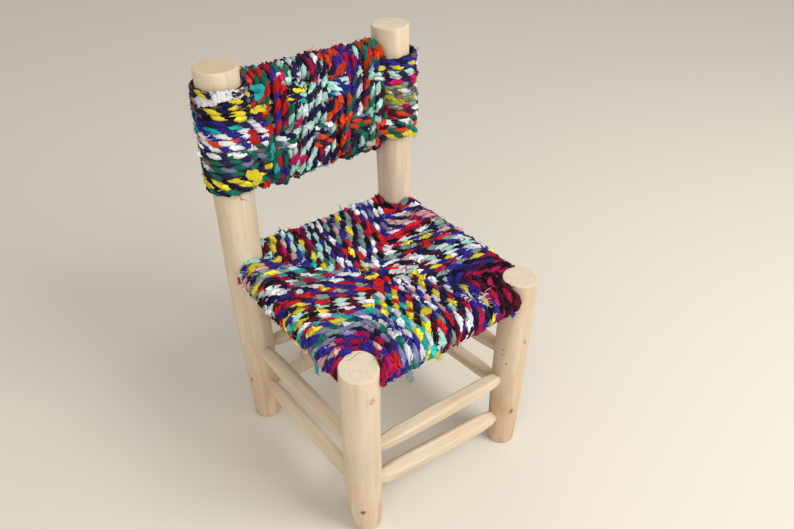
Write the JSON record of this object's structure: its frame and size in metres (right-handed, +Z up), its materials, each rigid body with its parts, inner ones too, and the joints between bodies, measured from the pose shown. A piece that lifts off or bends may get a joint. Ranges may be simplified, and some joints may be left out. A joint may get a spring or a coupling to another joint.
{
  "type": "child chair",
  "caption": "Low child's chair of peeled round poles with whittled stretchers, and a woven seat and back panel of twisted multicoloured rag rope.",
  "frame": {"origin": "centre of the chair's footprint box, on the floor", "axes": "+Z up, +Y towards the back, +X to the right of someone who looks at the chair from the front"},
  "size_m": [0.328, 0.3355, 0.5606],
  "materials": {
    "peeled_wood": "peeled and sanded, bare",
    "seat_rag_rope": "twisted rag strips of many colours",
    "back_rag_rope": "twisted rag strips of many colours"
  },
  "bodies": {
    "root": {"front_left_leg": "peeled_wood", "front_right_leg": "peeled_wood", "rear_left_post": "peeled_wood", "rear_right_post": "peeled_wood", "seat_rail_front": "peeled_wood", "seat_rail_rear": "peeled_wood", "seat_rail_left": "peeled_wood", "seat_rail_right": "peeled_wood", "front_stretcher_upper": "peeled_wood", "front_stretcher_lower": "peeled_wood", "left_stretcher_upper": "peeled_wood", "left_stretcher_lower": "peeled_wood", "right_stretcher_upper": "peeled_wood", "right_stretcher_lower": "peeled_wood", "rear_stretcher_upper": "peeled_wood", "rear_stretcher_lower": "peeled_wood", "back_rail_top": "peeled_wood", "back_rail_bottom": "peeled_wood", "seat_rope_front": "seat_rag_rope", "seat_rope_right": "seat_rag_rope", "seat_rope_rear": "seat_rag_rope", "seat_rope_left": "seat_rag_rope", "back_rope_courses": "back_rag_rope", "back_rope_uprights": "back_rag_rope"}
  },
  "joints": []
}
